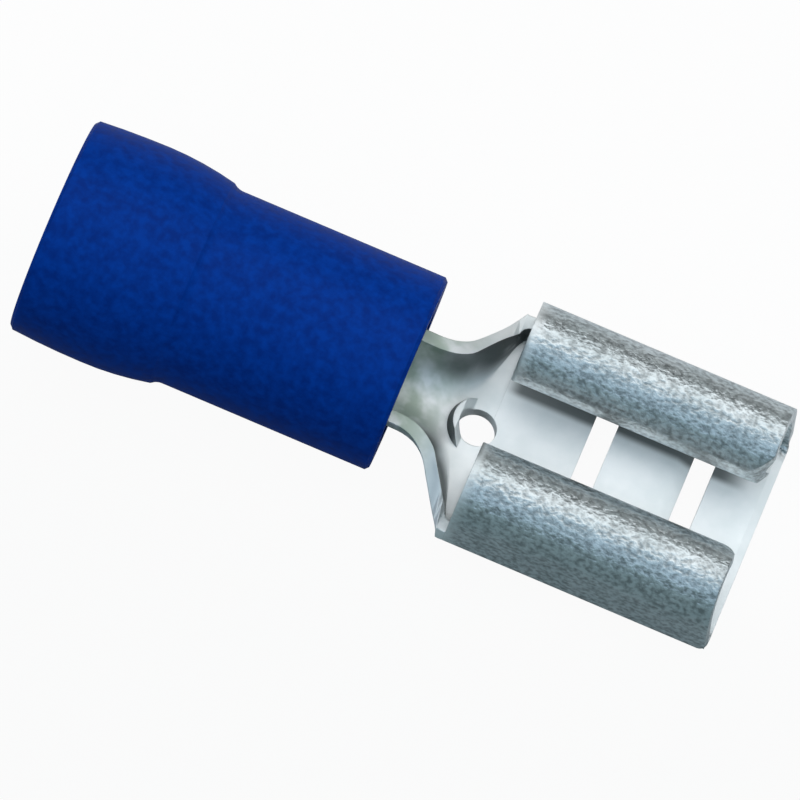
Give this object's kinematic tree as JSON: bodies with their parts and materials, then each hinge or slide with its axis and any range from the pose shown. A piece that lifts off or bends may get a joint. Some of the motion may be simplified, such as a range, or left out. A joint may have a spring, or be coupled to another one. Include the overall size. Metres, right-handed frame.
{
  "type": "female spade terminal",
  "caption": "Crimp terminal with a rolled spring receptacle for a flat tab, a latch bridge in its floor, and an insulated wire barrel.",
  "frame": {"origin": "centre of the wire barrel's bore, at the barrel's rear end, where the wire goes in", "axes": "+X along the wire barrel towards the mouth of the receptacle, +Y across the receptacle, +Z from its floor to its rolled lips"},
  "size_m": [0.0221, 0.0076, 0.0066],
  "materials": {
    "tinned_brass": "tin plated brass, satin",
    "tinned_brass_liner": "tin plated brass, dull",
    "blue_vinyl": "moulded vinyl, satin"
  },
  "bodies": {
    "root": {"terminal_body": "tinned_brass", "support_sleeve": "tinned_brass_liner", "insulating_sleeve": "blue_vinyl"}
  },
  "joints": []
}
